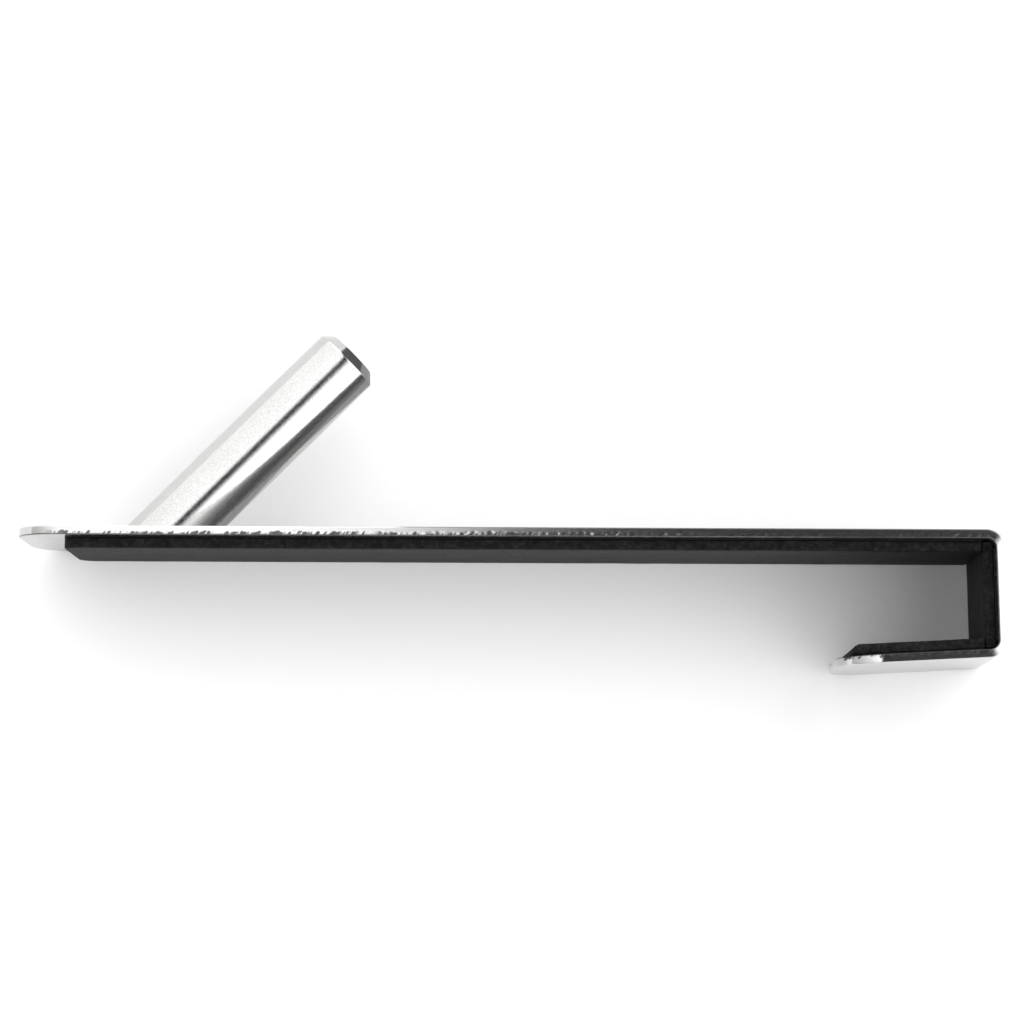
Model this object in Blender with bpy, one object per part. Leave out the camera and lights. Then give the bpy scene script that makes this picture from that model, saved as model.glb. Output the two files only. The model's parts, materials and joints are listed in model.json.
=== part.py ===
"""Over-panel hook: a bent steel strap, foam strips glued inside it, and a slanting round peg outside it.

Metres, +Z up. The hook lies on one long edge of the strap. The origin is the centre of the panel seat,
the foam face that the edge of the panel meets. +X runs along the long arm towards the bridge, +Y from
the long arm towards the peg, and +Z across the width of the strap.
"""

import math

import bmesh
import bpy
from mathutils import Matrix, Vector

# Strap
STRAP_WIDTH = 0.030
STRAP_THICKNESS = 0.0015
LONG_ARM_LENGTH = 0.1658  # free end to the outer face of the bridge
SHORT_ARM_LENGTH = 0.0283  # free end to the outer face of the bridge
BEND_RADIUS = 0.0015  # inside each bend
BEND_OPENING = math.radians(1.5)  # how much wider than a right angle each bend is
STRAP_CORNER_RADIUS = 0.0075
STRAP_EDGE_BREAK = 0.0002  # the sheared edges with their burr taken off

# Foam strips, and the adhesive film behind each
PANEL_GAP = 0.0145  # between the two facing foam strips, at the bridge
FOAM_THICKNESS = 0.0017
FOAM_SIDE_MARGIN = 0.0025  # steel left bare along each edge of the strap
FOAM_CORNER_RADIUS = 0.003
LONG_FOAM_END_MARGIN = 0.0080  # steel left bare at the free end of the long arm
SHORT_FOAM_END_MARGIN = 0.0025
FILM_THICKNESS = 0.00015

# Peg
PEG_DIAMETER = 0.012
PEG_LENGTH = 0.0442  # along the axis, from the outer face of the strap
PEG_ANGLE = math.radians(45)  # between the axis and the long arm
PEG_TIP_CHAMFER = 0.0015
PEG_FOOT = 0.0245  # free end of the long arm to the middle of the foot

# Countersunk screw that holds the peg
SCREW_DIAMETER = 0.004
SCREW_HEAD_DIAMETER = 0.0075
SCREW_LENGTH = 0.006  # over the head
SCREW_HEAD_SINK = 0.0001  # below the inner face of the strap
SCREW_TIP_CHAMFER = 0.0004
SOCKET_WIDTH = 0.0025  # across the flats of the hexagon
SOCKET_DEPTH = 0.0011
DRILL_POINT_SLOPE = math.tan(math.radians(30))

# Fits
CLEARANCE = 0.0003  # between any two pieces that meet
CUT_OVERRUN = 0.001  # how far a cutter runs past what it cuts

# Round stretches
BEND_STEPS = 10
CORNER_STEPS = 8
TURN_STEPS = 64

# The distances outwards from the panel at which each layer starts
FOAM_BACK = FOAM_THICKNESS
STRAP_INNER = FOAM_BACK + CLEARANCE
STRAP_OUTER = STRAP_INNER + STRAP_THICKNESS
BEND_CENTRE = STRAP_INNER - BEND_RADIUS
FILM_FRONT = FOAM_BACK + (CLEARANCE - FILM_THICKNESS) / 2
FILM_BACK = FILM_FRONT + FILM_THICKNESS


class Side:
    """One straight side of the hook, seen along Z: a line that the panel touches, and its outward normal."""

    def __init__(self, point, heading):
        self.point = point
        self.along = Vector((math.cos(heading), math.sin(heading)))
        self.outward = Vector((-math.sin(heading), math.cos(heading)))

    def at(self, run, rise):
        """The point this far along the side from its own point, and this far outwards."""
        return self.point + self.along * run + self.outward * rise

    def run_of(self, point):
        return (point - self.point).dot(self.along)


def meet(first, first_rise, second, second_rise):
    """Where two sides cross, each moved outwards by its rise."""
    start = first.at(0, first_rise)
    across = second.at(0, second_rise) - start
    return start + first.along * (across.cross(second.along) / first.along.cross(second.along))


HALF_SEAT = PANEL_GAP / 2
BRIDGE = Side(Vector((0, 0)), BEND_OPENING - math.pi / 2)
LONG = Side(BRIDGE.at(-HALF_SEAT, 0), 0)
SHORT = Side(BRIDGE.at(HALF_SEAT, 0), 2 * BEND_OPENING - math.pi)
LONG_END = LONG.run_of(meet(LONG, STRAP_OUTER, BRIDGE, STRAP_OUTER)) - LONG_ARM_LENGTH
SHORT_END = SHORT.run_of(meet(BRIDGE, STRAP_OUTER, SHORT, STRAP_OUTER)) + SHORT_ARM_LENGTH
PEG_RUN = LONG_END + PEG_FOOT


def arc(centre, radius, first, second, steps):
    """Points on an arc round the centre, from one direction to the other."""
    turn = first.angle_signed(second)
    return [centre + Matrix.Rotation(-turn * step / steps, 2) @ first * radius for step in range(steps + 1)]


def bend(first, second, radius, steps=BEND_STEPS):
    """The arc that carries one side into the next, round the centre that both faces of the strap share."""
    centre = meet(first, BEND_CENTRE, second, BEND_CENTRE)
    return arc(centre, radius, first.outward, second.outward, steps)


def clear_scene():
    for item in list(bpy.data.objects):
        bpy.data.objects.remove(item, do_unlink=True)


def material(name, colour, metallic, roughness):
    made = bpy.data.materials.new(name)
    made.use_nodes = True
    shader = made.node_tree.nodes["Principled BSDF"]
    shader.inputs["Base Color"].default_value = (*colour, 1)
    shader.inputs["Metallic"].default_value = metallic
    shader.inputs["Roughness"].default_value = roughness
    return made


def finish(name, mesh_tools, look=None):
    """Turns the bmesh into an object of this name, shaded smooth between its sharp edges."""
    bmesh.ops.recalc_face_normals(mesh_tools, faces=mesh_tools.faces)
    mesh = bpy.data.meshes.new(name)
    mesh_tools.to_mesh(mesh)
    mesh_tools.free()
    mesh.shade_smooth()
    mesh.set_sharp_from_angle(angle=math.radians(30))
    made = bpy.data.objects.new(name, mesh)
    bpy.context.scene.collection.objects.link(made)
    if look:
        mesh.materials.append(look)
    return made


def make_cutter(made):
    made.hide_render = True
    made.display_type = "WIRE"
    return made


def cut(target, cutter):
    modifier = target.modifiers.new(cutter.name, "BOOLEAN")
    modifier.operation = "DIFFERENCE"
    modifier.solver = "EXACT"
    modifier.object = make_cutter(cutter)


def extruded(outline, width):
    """A bmesh of an outline in X and Y, with its width centred on Z."""
    mesh_tools = bmesh.new()
    corners = [mesh_tools.verts.new((*point, -width / 2)) for point in outline]
    base = mesh_tools.faces.new(corners)
    raised = bmesh.ops.extrude_face_region(mesh_tools, geom=[base])["geom"]
    top = [item for item in raised if isinstance(item, bmesh.types.BMVert)]
    bmesh.ops.translate(mesh_tools, verts=top, vec=(0, 0, width))
    return mesh_tools


def round_end(mesh_tools, side, run, radius):
    """Rounds the two corners of the free end that lies this far along a side."""
    plane_point = side.at(run, 0)

    def at_end(vert):
        return abs((vert.co.xy - plane_point).dot(side.along)) < 1e-6

    corners = [
        edge
        for edge in mesh_tools.edges
        if all(at_end(vert) for vert in edge.verts) and abs(edge.verts[0].co.z - edge.verts[1].co.z) < 1e-6
    ]
    bmesh.ops.bevel(mesh_tools, geom=corners, offset=radius, segments=CORNER_STEPS, profile=0.5, affect="EDGES")


def break_edges(mesh_tools, width):
    """Takes the sharpness off every edge where two faces meet at more than 60 degrees."""
    mesh_tools.normal_update()
    sharp = [edge for edge in mesh_tools.edges if edge.calc_face_angle(0) > math.radians(60)]
    bmesh.ops.bevel(mesh_tools, geom=sharp, offset=width, segments=2, profile=0.5, affect="EDGES")


def lathed(profile):
    """A bmesh turned round Z from (radius, height) points that start and end on the axis."""
    mesh_tools = bmesh.new()
    points = [mesh_tools.verts.new((radius, 0, height)) for radius, height in profile]
    edges = [mesh_tools.edges.new(pair) for pair in zip(points, points[1:])]
    bmesh.ops.spin(
        mesh_tools,
        geom=points + edges,
        cent=(0, 0, 0),
        axis=(0, 0, 1),
        angle=2 * math.pi,
        steps=TURN_STEPS,
        use_merge=True,
    )
    bmesh.ops.remove_doubles(mesh_tools, verts=mesh_tools.verts, dist=1e-7)
    return mesh_tools


def stand_on_strap(made):
    """Turns the object's Z to the outward normal of the long arm, at the foot of the peg, on the inner face."""
    made.location = (*LONG.at(PEG_RUN, STRAP_INNER), 0)
    made.rotation_euler = (-math.pi / 2, 0, 0)
    return made


def make_strap(look):
    outer = [LONG.at(LONG_END, STRAP_OUTER)]
    outer += bend(LONG, BRIDGE, BEND_RADIUS + STRAP_THICKNESS)
    outer += bend(BRIDGE, SHORT, BEND_RADIUS + STRAP_THICKNESS)
    outer += [SHORT.at(SHORT_END, STRAP_OUTER)]
    inner = [LONG.at(LONG_END, STRAP_INNER)]
    inner += bend(LONG, BRIDGE, BEND_RADIUS)
    inner += bend(BRIDGE, SHORT, BEND_RADIUS)
    inner += [SHORT.at(SHORT_END, STRAP_INNER)]
    mesh_tools = extruded(outer + inner[::-1], STRAP_WIDTH)
    round_end(mesh_tools, LONG, LONG_END, STRAP_CORNER_RADIUS)
    round_end(mesh_tools, SHORT, SHORT_END, STRAP_CORNER_RADIUS)
    break_edges(mesh_tools, STRAP_EDGE_BREAK)
    strap = finish("hook_strap", mesh_tools, look)
    cut(strap, countersink_cutter())
    return strap


def countersink_cutter():
    shank = SCREW_DIAMETER / 2 + CLEARANCE
    head = SCREW_HEAD_DIAMETER / 2 + CLEARANCE
    cone_end = SCREW_HEAD_SINK + head - shank
    mouth = head + SCREW_HEAD_SINK + CUT_OVERRUN
    far_end = max(cone_end, STRAP_THICKNESS) + CUT_OVERRUN
    profile = [(0, -CUT_OVERRUN), (mouth, -CUT_OVERRUN), (shank, cone_end), (shank, far_end), (0, far_end)]
    return stand_on_strap(finish("countersink_cutter", lathed(profile)))


def make_long_layer(name, front, back, look):
    """A layer on the long arm, from its free end to the face of the bridge's foam."""
    start = LONG_END + LONG_FOAM_END_MARGIN
    outline = [
        LONG.at(start, front),
        meet(LONG, front, BRIDGE, -CLEARANCE),
        meet(LONG, back, BRIDGE, -CLEARANCE),
        LONG.at(start, back),
    ]
    mesh_tools = extruded(outline, STRAP_WIDTH - 2 * FOAM_SIDE_MARGIN)
    round_end(mesh_tools, LONG, start, FOAM_CORNER_RADIUS)
    return finish(name, mesh_tools, look)


def make_short_layer(name, front, back, look):
    """A layer on the short arm, from the face of the bridge's foam to the free end."""
    end = SHORT_END - SHORT_FOAM_END_MARGIN
    outline = [
        meet(BRIDGE, -CLEARANCE, SHORT, front),
        SHORT.at(end, front),
        SHORT.at(end, back),
        meet(BRIDGE, -CLEARANCE, SHORT, back),
    ]
    mesh_tools = extruded(outline, STRAP_WIDTH - 2 * FOAM_SIDE_MARGIN)
    round_end(mesh_tools, SHORT, end, FOAM_CORNER_RADIUS)
    return finish(name, mesh_tools, look)


def make_bridge_foam(look):
    """The strip between the arms. Its back corners are pressed round inside the bends."""
    pressed_radius = BEND_RADIUS - CLEARANCE
    outline = [meet(BRIDGE, 0, SHORT, STRAP_INNER - CLEARANCE), meet(LONG, STRAP_INNER - CLEARANCE, BRIDGE, 0)]
    outline += bend(LONG, BRIDGE, pressed_radius)
    outline += bend(BRIDGE, SHORT, pressed_radius)
    return finish("bridge_foam", extruded(outline, STRAP_WIDTH - 2 * FOAM_SIDE_MARGIN), look)


def make_bridge_film(look):
    """The film behind the bridge's foam, as far as the strap is flat."""
    outline = [
        meet(LONG, BEND_CENTRE, BRIDGE, FILM_FRONT),
        meet(LONG, BEND_CENTRE, BRIDGE, FILM_BACK),
        meet(BRIDGE, FILM_BACK, SHORT, BEND_CENTRE),
        meet(BRIDGE, FILM_FRONT, SHORT, BEND_CENTRE),
    ]
    return finish("bridge_film", extruded(outline, STRAP_WIDTH - 2 * FOAM_SIDE_MARGIN), look)


def make_peg(look):
    radius = PEG_DIAMETER / 2
    below = -radius / math.tan(PEG_ANGLE) - CUT_OVERRUN
    profile = [
        (0, below),
        (radius, below),
        (radius, PEG_LENGTH - PEG_TIP_CHAMFER),
        (radius - PEG_TIP_CHAMFER, PEG_LENGTH),
        (0, PEG_LENGTH),
    ]
    peg = finish("peg", lathed(profile), look)
    peg.location = (*LONG.at(PEG_RUN, STRAP_OUTER), 0)
    peg.rotation_euler = Vector((math.cos(PEG_ANGLE), math.sin(PEG_ANGLE), 0)).to_track_quat("Z", "Y").to_euler()
    cut(peg, foot_cutter())
    cut(peg, screw_hole_cutter())
    return peg


def foot_cutter():
    """A block that reaches up to the strap, and leaves the foot of the peg flat."""
    size = 2 * PEG_LENGTH
    mesh_tools = bmesh.new()
    bmesh.ops.create_cube(mesh_tools, size=size)
    block = finish("foot_cutter", mesh_tools)
    block.location = (*LONG.at(PEG_RUN, STRAP_OUTER + CLEARANCE - size / 2), 0)
    return block


def screw_hole_cutter():
    """The blind hole in the foot of the peg, square to the strap, with a drill point."""
    radius = SCREW_DIAMETER / 2 + CLEARANCE
    start = STRAP_THICKNESS - CUT_OVERRUN
    bottom = SCREW_HEAD_SINK + SCREW_LENGTH + CLEARANCE
    profile = [(0, start), (radius, start), (radius, bottom), (0, bottom + radius * DRILL_POINT_SLOPE)]
    return stand_on_strap(finish("screw_hole_cutter", lathed(profile)))


def make_screw(look):
    shank = SCREW_DIAMETER / 2
    head = SCREW_HEAD_DIAMETER / 2
    tip = SCREW_HEAD_SINK + SCREW_LENGTH
    profile = [
        (0, SCREW_HEAD_SINK),
        (head, SCREW_HEAD_SINK),
        (shank, SCREW_HEAD_SINK + head - shank),
        (shank, tip - SCREW_TIP_CHAMFER),
        (shank - SCREW_TIP_CHAMFER, tip),
        (0, tip),
    ]
    screw = stand_on_strap(finish("peg_screw", lathed(profile), look))
    cut(screw, socket_cutter())
    return screw


def socket_cutter():
    across_corners = SOCKET_WIDTH / math.cos(math.radians(30))
    depth = SOCKET_DEPTH + CUT_OVERRUN
    mesh_tools = bmesh.new()
    bmesh.ops.create_cone(
        mesh_tools,
        cap_ends=True,
        segments=6,
        radius1=across_corners / 2,
        radius2=across_corners / 2,
        depth=depth,
        matrix=Matrix.Translation((0, 0, SCREW_HEAD_SINK + SOCKET_DEPTH - depth / 2)),
    )
    return stand_on_strap(finish("socket_cutter", mesh_tools))


def main():
    clear_scene()
    foam = material("foam", (0.035, 0.035, 0.036), 0, 0.9)
    film = material("adhesive_film", (0.06, 0.06, 0.06), 0, 0.5)
    make_strap(material("strap_steel", (0.62, 0.62, 0.61), 1, 0.3))
    make_long_layer("long_foam", 0, FOAM_BACK, foam)
    make_bridge_foam(foam)
    make_short_layer("short_foam", 0, FOAM_BACK, foam)
    make_long_layer("long_film", FILM_FRONT, FILM_BACK, film)
    make_bridge_film(film)
    make_short_layer("short_film", FILM_FRONT, FILM_BACK, film)
    make_peg(material("peg_steel", (0.66, 0.66, 0.65), 1, 0.22))
    make_screw(material("screw_steel", (0.5, 0.5, 0.49), 1, 0.35))


main()
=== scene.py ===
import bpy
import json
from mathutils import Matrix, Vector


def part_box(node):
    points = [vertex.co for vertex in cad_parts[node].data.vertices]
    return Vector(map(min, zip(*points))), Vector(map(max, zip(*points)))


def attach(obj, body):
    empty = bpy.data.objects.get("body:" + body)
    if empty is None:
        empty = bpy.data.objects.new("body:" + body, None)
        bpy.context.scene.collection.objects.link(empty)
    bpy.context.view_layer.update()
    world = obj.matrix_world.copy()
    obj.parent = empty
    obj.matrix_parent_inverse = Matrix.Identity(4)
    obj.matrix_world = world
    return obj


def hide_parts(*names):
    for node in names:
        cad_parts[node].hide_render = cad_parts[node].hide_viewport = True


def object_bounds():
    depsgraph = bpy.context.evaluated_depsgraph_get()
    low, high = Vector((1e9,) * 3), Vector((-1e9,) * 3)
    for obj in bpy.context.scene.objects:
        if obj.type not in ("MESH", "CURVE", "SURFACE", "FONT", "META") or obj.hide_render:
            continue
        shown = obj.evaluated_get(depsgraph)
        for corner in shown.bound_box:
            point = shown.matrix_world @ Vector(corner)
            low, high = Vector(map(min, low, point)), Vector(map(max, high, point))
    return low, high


bl_info = {
    "name": "Over-panel hook",
    "version": (1, 0, 0),
    "blender": (4, 5, 0),
    "location": "View3D > Sidebar > Hook",
    "description": "Builds the looks of an over-panel hook around its CAD frame",
    "category": "Object",
}

import json
import math

import bmesh
import bpy
from bpy.props import FloatProperty, FloatVectorProperty, PointerProperty
from mathutils import Matrix, Vector, noise

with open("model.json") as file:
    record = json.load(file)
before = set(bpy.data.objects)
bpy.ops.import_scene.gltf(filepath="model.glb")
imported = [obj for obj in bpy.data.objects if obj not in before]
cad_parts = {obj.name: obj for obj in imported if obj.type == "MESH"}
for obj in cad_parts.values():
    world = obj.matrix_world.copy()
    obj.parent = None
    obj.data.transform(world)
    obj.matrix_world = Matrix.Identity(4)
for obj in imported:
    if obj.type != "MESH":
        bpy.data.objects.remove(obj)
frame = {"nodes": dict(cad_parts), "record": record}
cad_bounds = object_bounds()

BODY = "root"
TINY = 1e-6

# The attributes that the meshes carry for their materials
GRAIN = "grain"  # place along the piece, out from the panel and across the width, in metres
CUT = "cut"  # 1 on a cut edge, 0 on a broad face
TORN = "torn"  # how deep the torn part of a cut edge is here, from 0 to 1

# How finely the meshes are divided
CORNER_STEPS = 14
EDGE_STEPS = 4
ARRIS_STEPS = 3
STRAP_PITCH = 0.0002
STRAP_LAYER = 0.00012
STRAP_COLUMNS = 6
FOAM_PITCH = 0.00022
FOAM_LAYER = 0.0002
FOAM_COLUMNS = 10
PEG_STEPS = 192
PEG_RING_SHARE = 0.04  # share of the peg's length between two rings
HOLE_STEPS = 96
FLOOR_STEPS = 8

# Angles in degrees between two faces, above which their edge stays sharp
STEEL_SHARP = 35
SOFT_SHARP = 50

# Patterns are in cycles per metre: one number, or one each for run, rise and z
BRUSH_LINES = (260, 9000, 14000)
LONG_LINES = (45, 2500, 3200)
SCUFFS = (700, 1600, 1600)
EDGE_MARKS = (900, 2600, 4000)
NICKS = (1500, 260, 40)
DEEP_NICKS = (420, 100, 40)
STRAP_HAZE = 55
GRINDING_RINGS = (9000, 700, 700)
PEG_SPECKLE = (5200, 2600, 2600)
PEG_HAZE = (90, 160, 160)
HANDLING_MARKS = (260, 1500, 1500)
TURNING_MARKS = (2500, 9000, 2500)
OIL_FILM = 900
FOAM_PEBBLES = 2600
FOAM_SWELL = (180, 400, 260)
FOAM_DUST = 1400
FOAM_RUB = (60, 300, 220)
FOAM_PATCHES = 900
FINE_CELLS = 2.6  # how many times finer than the pores
FILM_DUST = 2600
FILM_WAVES = (300, 900, 900)
PAPER_TOOTH = 900
PAPER_CLOUDS = 6

# Heights in metres that the patterns stand for
BRUSH_HEIGHT = 0.000006
PEG_HEIGHT = 0.000011
SKIN_HEIGHT = 0.00004
CELL_HEIGHT = 0.00012
FILM_HEIGHT = 0.00002
PAPER_HEIGHT = 0.00001

# The cut edges of the strap
TEAR_SLANT = 0.6  # how far a tear runs along the strap for each unit that it rises
PAINTED_SHADE_LINE = (0.00008, 0.0003)  # rise over which the cut edge is painted dark, as shade, where it turns into the inner face
SHADED_END = (0.004, 0.009)  # run between which the nicks and their painted shade set in
DULL_HIGHLIGHT_EASE = 0.0012  # half the length over which the rougher stretch, with its painted highlight, sets in
OVERRUN = 0.001  # how far the countersink's cutter runs past the steel
DRILL_POINT = math.radians(30)  # slope of the bottom of the blind hole

SCREW_COLOUR = (0.6, 0.6, 0.59)
FILM_COLOUR = (0.004, 0.004, 0.004)
FILM_DUST_COLOUR = (0.05, 0.05, 0.048)

FLOOR_GAP = 0.00002  # keeps the floor clear of the edge that lies on it
CARD_FULL = 0.3  # share of the card's height that is fully dark

# The light by the direction (x, y, z) that it comes from. Each pair is where a change starts and ends.
LIGHT_TO_X = 0.62  # how much brighter it is towards +X
LIGHT_TO_Y = 0.42
LEAN_FLOOR = 0.05  # least z that a lean is worked out with
PATCH_LEFT = (-0.06, 0.0)  # x over z
PATCH_RIGHT = (0.12, 0.34)
PATCH_FRONT = (0.5, 1.1)  # y over z, either way
PATCH_BOTTOM = (0.3, 0.5)  # z
HORIZON = (0.09, 0.2)
HORIZON_LIGHT = (0.75, 0.05)  # least brightness below the horizon band and above it
BRIDGE_SIDE = (0.3, 0.8)  # x
BRIDGE_SIDE_TOP = (0.0, 0.35)  # z
BRIDGE_SIDE_DIM = 0.6  # how much dimmer the light is beyond the bridge


# ---------------------------------------------------------------------------------------------------------
# Measures of the frame
# ---------------------------------------------------------------------------------------------------------


class Side:
    """One straight side of the hook in X and Y: a line that the panel touches, and its outward normal."""

    def __init__(self, mount_name):
        mount = next(item for item in frame["record"]["mounts"] if item["name"] == mount_name)
        self.point = Vector(mount["pos_m"]).xy
        self.outward = -Vector(mount["axis"]).xy.normalized()
        self.along = Vector((self.outward.y, -self.outward.x))

    def at(self, run, rise):
        """The point this far along the side from its own point, and this far outwards."""
        return self.point + self.along * run + self.outward * rise

    def measure(self, node, behind=False):
        """Lowest and highest (run, rise) of a CAD node, or of only what lies behind this side."""
        places = [vertex.co.xy - self.point for vertex in frame["nodes"][node].data.vertices]
        found = [(place.dot(self.along), place.dot(self.outward)) for place in places]
        if behind:
            found = [item for item in found if item[1] > TINY]
        runs = [run for run, rise in found]
        rises = [rise for run, rise in found]
        return (min(runs), min(rises)), (max(runs), max(rises))


def meet(first, first_rise, second, second_rise):
    """Where two sides cross, each moved outwards by its rise."""
    start = first.at(0, first_rise)
    across = second.at(0, second_rise) - start
    return start + first.along * (across.cross(second.along) / first.along.cross(second.along))


BRIDGE = Side("panel_seat")
LONG = Side("panel_face")
SHORT = Side("clip_face")

STRAP_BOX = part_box("hook_strap")
FOAM_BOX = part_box("long_foam")
PEG_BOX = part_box("peg")
STRAP_HALF_WIDTH = (STRAP_BOX[1].z - STRAP_BOX[0].z) / 2
FOAM_HALF_WIDTH = (FOAM_BOX[1].z - FOAM_BOX[0].z) / 2
FLOOR_LEVEL = cad_bounds[0].z
STRAP_OUTER = LONG.measure("hook_strap")[1][1]
LONG_END = LONG.measure("hook_strap")[0][0]
SHORT_END = SHORT.measure("hook_strap", behind=True)[1][0]
FOAM_BACK = LONG.measure("long_foam")[1][1]


# ---------------------------------------------------------------------------------------------------------
# What a user may change
# ---------------------------------------------------------------------------------------------------------


def length(name, description, default):
    return FloatProperty(
        name=name, description=description, default=default, min=0, unit="LENGTH", precision=5
    )


def share(name, description, default, highest=1.0):
    return FloatProperty(name=name, description=description, default=default, min=0, max=highest)


def colour(name, description, default):
    return FloatVectorProperty(name=name, description=description, default=default, subtype="COLOR", size=3)


class StrapSettings(bpy.types.PropertyGroup):
    thickness: length("Thickness", "Thickness of the sheet", 0.0015)
    bend_radius: length("Bend radius", "Radius inside each bend", 0.0015)
    corner_radius: length("Corner radius", "Radius of the corners at the free ends", 0.0075)
    edge_round: length("Edge round", "Radius where the broad faces turn into the cut edges", 0.00018)
    torn_share: share("Torn share", "How much of the thickness tore instead of shearing clean", 0.45)
    torn_depth: length("Torn depth", "Depth of the torn part's waves", 0.000014)
    torn_pitch: length("Torn pitch", "Distance between the torn part's waves", 0.0009)
    colour: colour("Colour", "Colour of the steel", (0.56, 0.56, 0.555))
    face_roughness: share("Face roughness", "Roughness of the brushed faces", 0.26)
    edge_roughness: share("Edge roughness", "Roughness of the clean part of the cut edges", 0.1)
    hole: length("Hole", "Diameter of the hole for the peg's screw", 0.0046)
    countersink: length("Countersink", "Diameter of the countersink at the inner face", 0.0083)


class FoamSettings(bpy.types.PropertyGroup):
    edge_round: length("Edge round", "Radius of the strips' long arrises", 0.00018)
    corner_radius: length("Corner radius", "Radius of the corners at the free ends", 0.0032)
    end_round_length: length("End round length", "Length of the short strip's rounded free end", 0.0015)
    end_round_height: length("End round height", "How far that end falls away", 0.0014)
    end_corner: length("End corner", "Radius of the corners at that end", 0.0015)
    back_round: length("Back round", "Radius of the back corners in the bends", 0.0006)
    seam: length("Seam", "Gap where two strips meet", 0.0001)
    unevenness: length("Unevenness", "How far the faces rise and fall", 0.00004)
    face_colour: colour("Face colour", "Colour of the skin that the panel touches", (0.0065, 0.0065, 0.0068))
    side_colour: colour("Side colour", "Colour of the cut sides", (0.006, 0.006, 0.0062))
    pore_size: length("Pore size", "Distance between the pores of a cut side", 0.0005)


class PegSettings(bpy.types.PropertyGroup):
    angle: FloatProperty(
        name="Angle",
        description="Angle between the peg and the long arm",
        default=math.radians(45),
        min=math.radians(20),
        max=math.radians(90),
        subtype="ANGLE",
    )
    chamfer: length("Chamfer", "Width of the chamfer at the tip", 0.0015)
    arris_round: length("Arris round", "Radius of the arrises at the tip", 0.00012)
    foot_gap: length("Foot gap", "Gap between the foot and the strap", 0.00002)
    screw_hole: length("Screw hole", "Diameter of the blind hole in the foot", 0.0046)
    screw_hole_depth: length("Screw hole depth", "Depth of the blind hole below the foot", 0.0049)
    colour: colour("Colour", "Colour of the steel", (0.57, 0.57, 0.565))
    roughness: share("Roughness", "Roughness of the ground surface", 0.13)


class StageSettings(bpy.types.PropertyGroup):
    floor_size: length("Floor size", "Length of the floor's sides", 12.0)
    floor_colour: colour("Floor colour", "Colour of the floor", (0.77, 0.77, 0.77))
    light: share("Light", "Brightness of the soft light all round", 1.95, highest=10)
    shade: share("Shade", "Brightness of the dark patch overhead, as a share of the light", 0.02)
    card_tone: share("Card tone", "Brightness of the dark card that only reflections show", 0.15)
    lying_tone: share("Lying tone", "Brightness of the part of that card that lies on the floor", 0.5)
    card_distance: length("Card distance", "Distance from the strap to the card", 0.047)
    card_height: length("Card height", "Height of the card, which fades out towards its top", 0.1)
    card_start: FloatProperty(
        name="Card start",
        description="Where the card begins, along the long arm",
        default=-0.1,
        unit="LENGTH",
    )
    card_finish: FloatProperty(
        name="Card finish",
        description="Where the card ends, beyond the bridge",
        default=0.1,
        unit="LENGTH",
    )
    camera_place: FloatVectorProperty(
        name="Camera place",
        description="Where the camera stands",
        default=(-0.07285, -0.05312, 0.631),
        size=3,
        subtype="TRANSLATION",
        unit="LENGTH",
    )
    camera_aim: FloatVectorProperty(
        name="Camera aim",
        description="The point that the camera looks at",
        default=(-0.07905, 0.01328, 0.015),
        size=3,
        subtype="TRANSLATION",
        unit="LENGTH",
    )
    camera_roll: FloatProperty(
        name="Camera roll",
        description="How far the camera is turned round its own axis",
        default=math.radians(-0.31),
        subtype="ANGLE",
    )
    camera_lens: FloatProperty(
        name="Camera lens", description="Focal length", default=130.3, min=1, unit="CAMERA"
    )


# ---------------------------------------------------------------------------------------------------------
# Shader nodes as expressions
# ---------------------------------------------------------------------------------------------------------


class Signal:
    """A shader socket that carries a number, and takes part in arithmetic."""

    def __init__(self, graph, socket):
        self.graph = graph
        self.socket = socket

    def maths(self, operation, *values):
        return self.graph.add("ShaderNodeMath", {"operation": operation}, dict(enumerate(values)))

    def __add__(self, other):
        return self.maths("ADD", self, other)

    __radd__ = __add__

    def __sub__(self, other):
        return self.maths("SUBTRACT", self, other)

    def __rsub__(self, other):
        return self.maths("SUBTRACT", other, self)

    def __mul__(self, other):
        return self.maths("MULTIPLY", self, other)

    __rmul__ = __mul__

    def __truediv__(self, other):
        return self.maths("DIVIDE", self, other)

    def __abs__(self):
        return self.maths("ABSOLUTE", self)

    def or_more(self, other):
        return self.maths("MAXIMUM", self, other)

    def step(self, low, high, to_low=0.0, to_high=1.0):
        """Runs smoothly from to_low, where this is low, to to_high, where it is high."""
        settings = {"interpolation_type": "SMOOTHSTEP"}
        values = {"Value": self, "From Min": low, "From Max": high, "To Min": to_low, "To Max": to_high}
        return self.graph.add("ShaderNodeMapRange", settings, values)


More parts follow.
